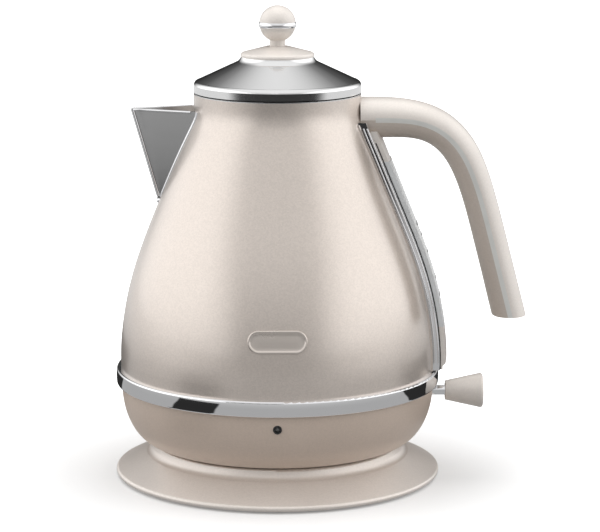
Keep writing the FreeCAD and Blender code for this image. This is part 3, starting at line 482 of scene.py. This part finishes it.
badge()
spout()
gauge_beads()
for strip in ("gauge_trim_front", "gauge_trim_back"):
    soften(strip, 0.8 * MM)

# ------------------------------------------------------------------ studio


def calculate(tree, operation, *values):
    """Math node on sockets or plain numbers."""
    node = tree.nodes.new("ShaderNodeMath")
    node.operation = operation
    for socket, value in zip(node.inputs, values):
        if isinstance(value, (int, float)):
            socket.default_value = value
        else:
            link(tree, value, socket)
    return node.outputs["Value"]


def step_between(tree, value, start, end, low, high):
    """Smooth change from low to high while the value goes from start to end."""
    node = tree.nodes.new("ShaderNodeMapRange")
    node.interpolation_type = "SMOOTHSTEP"
    for socket, number in zip(("From Min", "From Max", "To Min", "To Max"), (start, end, low, high)):
        node.inputs[socket].default_value = number
    link(tree, value, node.inputs["Value"])
    return node.outputs["Result"]


def distance_from(tree, coords, x, y):
    node = tree.nodes.new("ShaderNodeVectorMath")
    node.operation = "DISTANCE"
    link(tree, coords, node.inputs[0])
    node.inputs[1].default_value = (x, y, 0.0)
    return node.outputs["Value"]


def emission(tree, strength):
    node = tree.nodes.new("ShaderNodeEmission")
    if isinstance(strength, (int, float)):
        node.inputs["Strength"].default_value = strength
    else:
        link(tree, strength, node.inputs["Strength"])
    return node.outputs["Emission"]


def mixed(tree, factor, first, second):
    node = tree.nodes.new("ShaderNodeMixShader")
    link(tree, factor, node.inputs["Fac"])
    link(tree, first, node.inputs[1])
    link(tree, second, node.inputs[2])
    return node.outputs["Shader"]


def product(tree, first, *others):
    for other in others:
        first = calculate(tree, "MULTIPLY", first, other)
    return first


# Painted dark reflection patches, seen only in reflections of the floor: softness of their sides, inner
# and outer reach, and darkness.
PATCH_SOFT_DEGREES = 1.2
PATCH_INNER = (0.12, 0.14)
PATCH_OUTER = (0.45, 0.48)
PATCH_LEVEL = 0.06
# directions round the kettle, in degrees from the front towards +X
DARK_REFLECTION_PATCHES = [(-66.0, -37.0), (90.0, 165.0), (-165.0, -128.0)]
FLOOR_HALF = 6.0
FLOOR_DROP = 0.0001
FLOOR_TO_DIFFUSE = 0.25


def dark_reflection_patch(tree, azimuth, reach, start_degrees, end_degrees):
    """Factor that is dark on a painted dark reflection patch lying between two directions round the
    kettle, 1 elsewhere.
    """
    start = math.radians(start_degrees)
    end = math.radians(end_degrees)
    soft = math.radians(PATCH_SOFT_DEGREES)
    after_start = step_between(tree, azimuth, start - soft, start + soft, 0.0, 1.0)
    before_end = step_between(tree, azimuth, end - soft, end + soft, 1.0, 0.0)
    beyond = step_between(tree, reach, *PATCH_INNER, 0.0, 1.0)
    near = step_between(tree, reach, *PATCH_OUTER, 1.0, 0.0)
    inside = product(tree, after_start, before_end, beyond, near)
    return step_between(tree, inside, 0.0, 1.0, 1.0, PATCH_LEVEL)


def floor():
    """White floor with painted shadow: it glows less near the kettle. Reflections see it with painted
    dark patches in place of the dark cards of a product studio; the camera doesn't.
    """
    half = FLOOR_HALF
    corners = [(-half, -half, 0), (half, -half, 0), (half, half, 0), (-half, half, 0)]
    mesh = bpy.data.meshes.new("floor")
    mesh.from_pydata(corners, [], [(0, 1, 2, 3)])
    made = bpy.data.objects.new("floor", mesh)
    bpy.context.scene.collection.objects.link(made)
    made.location.z = -FLOOR_DROP
    look = bpy.data.materials.new("floor")
    look.use_nodes = True
    tree = look.node_tree
    shader = tree.nodes["Principled BSDF"]
    coords = tree.nodes.new("ShaderNodeTexCoord").outputs["Object"]
    white = ramp(tree, noise(tree, coords, 3.0), (0.86, 0.86, 0.86), (0.88, 0.88, 0.88))
    link(tree, white, shader.inputs["Base Color"])
    shader.inputs["Roughness"].default_value = 0.45
    reach = distance_from(tree, coords, 0.0, 0.0)
    both = tree.nodes.new("ShaderNodeAddShader")
    link(tree, shader.outputs["BSDF"], both.inputs[0])
    # Painted shadow: the floor's glow is weak near the kettle and grows away from it.
    link(tree, emission(tree, step_between(tree, reach, 0.10, 0.26, 0.12, 0.75)), both.inputs[1])
    axes = tree.nodes.new("ShaderNodeSeparateXYZ")
    link(tree, coords, axes.inputs["Vector"])
    # Painted reflection: reflections see a glow, brighter further out and dimmer in front, with dark
    # patches.
    wide = step_between(tree, reach, 0.30, 0.90, 0.45, 0.80)
    front = step_between(tree, axes.outputs["Y"], -1.1, -0.5, 0.05, 1.0)
    forward = calculate(tree, "MULTIPLY", axes.outputs["Y"], -1.0)
    azimuth = calculate(tree, "ARCTAN2", axes.outputs["X"], forward)
    dark_patches = [dark_reflection_patch(tree, azimuth, reach, start, end) for start, end in DARK_REFLECTION_PATCHES]
    shown = product(tree, wide, front, *dark_patches)
    path = tree.nodes.new("ShaderNodeLightPath")
    # Painted light: diffuse light bounced off the floor onto the kettle is a flat glow.
    for_diffuse = emission(tree, FLOOR_TO_DIFFUSE)
    indirect = mixed(tree, path.outputs["Is Glossy Ray"], for_diffuse, emission(tree, shown))
    surface = mixed(tree, path.outputs["Is Camera Ray"], indirect, both.outputs["Shader"])
    link(tree, surface, tree.nodes["Material Output"].inputs["Surface"])
    mesh.materials.append(look)


TOP_LIGHT_PLACE = (0.0, 0.2, 1.5)
TOP_LIGHT_AIM = (0, 0, 0.1)
TOP_LIGHT_SIDE = 1.2
TOP_LIGHT_WATTS = 9.0


def top_light():
    """Large soft light overhead that isn't itself mirrored in the kettle."""
    light = bpy.data.lights.new("top_light", "AREA")
    light.shape = "RECTANGLE"
    light.size = TOP_LIGHT_SIDE
    light.size_y = TOP_LIGHT_SIDE
    light.energy = TOP_LIGHT_WATTS
    made = bpy.data.objects.new("top_light", light)
    bpy.context.scene.collection.objects.link(made)
    made.location = TOP_LIGHT_PLACE
    aim = Vector(TOP_LIGHT_AIM) - Vector(TOP_LIGHT_PLACE)
    made.rotation_euler = aim.to_track_quat("-Z", "Y").to_euler()
    made.visible_camera = False
    made.visible_glossy = False


def grey_ramp(tree, value, stops):
    node = tree.nodes.new("ShaderNodeValToRGB")
    elements = node.color_ramp.elements
    while len(elements) < len(stops):
        elements.new(0.5)
    for element, (position, level) in zip(elements, stops):
        element.position = position
        element.color = (level, level, level, 1.0)
    link(tree, value, node.inputs["Fac"])
    return node.outputs["Color"]


# (height or width of a direction, brightness)
SKY_BEHIND = [
    (0.0, 0.02), (0.12, 0.03), (0.40, 0.10), (0.57, 0.25), (0.68, 0.46), (0.76, 0.68), (0.88, 1.0),
]
SKY_AHEAD = [(0.0, 0.48), (0.24, 0.58), (0.44, 0.68), (0.56, 0.86), (0.75, 1.0)]
SKY_SIDES = [(0.28, 0.0), (0.45, 0.50), (0.62, 1.10), (0.80, 1.50), (1.0, 1.50)]


def studio_sky():
    """Bright overhead and to both sides, dim in front, dark low down behind. The camera sees white."""
    world = bpy.data.worlds.new("studio")
    bpy.context.scene.world = world
    world.use_nodes = True
    tree = world.node_tree
    axes = tree.nodes.new("ShaderNodeSeparateXYZ")
    link(tree, tree.nodes.new("ShaderNodeTexCoord").outputs["Generated"], axes.inputs["Vector"])
    up = axes.outputs["Z"]
    behind = grey_ramp(tree, up, SKY_BEHIND)
    ahead = grey_ramp(tree, up, SKY_AHEAD)
    turn = step_between(tree, axes.outputs["Y"], -0.25, 0.35, 0.0, 1.0)
    sky = tree.nodes.new("ShaderNodeMix")
    sky.data_type = "RGBA"
    link(tree, turn, sky.inputs["Factor"])
    link(tree, ahead, sky.inputs[6])
    link(tree, behind, sky.inputs[7])
    across = calculate(tree, "ABSOLUTE", axes.outputs["X"])
    sides = grey_ramp(tree, across, SKY_SIDES)
    lighter = tree.nodes.new("ShaderNodeMix")
    lighter.data_type = "RGBA"
    lighter.blend_type = "LIGHTEN"
    lighter.inputs["Factor"].default_value = 1.0
    link(tree, sky.outputs[2], lighter.inputs[6])
    link(tree, sides, lighter.inputs[7])
    reflected = tree.nodes["Background"]
    link(tree, lighter.outputs[2], reflected.inputs["Color"])
    backdrop = tree.nodes.new("ShaderNodeBackground")
    backdrop.inputs["Color"].default_value = (1.0, 1.0, 1.0, 1.0)
    seen = tree.nodes.new("ShaderNodeLightPath").outputs["Is Camera Ray"]
    both = mixed(tree, seen, reflected.outputs["Background"], backdrop.outputs["Background"])
    link(tree, both, tree.nodes["World Output"].inputs["Surface"])


floor()
studio_sky()
top_light()
bpy.context.scene.view_settings.view_transform = "Standard"
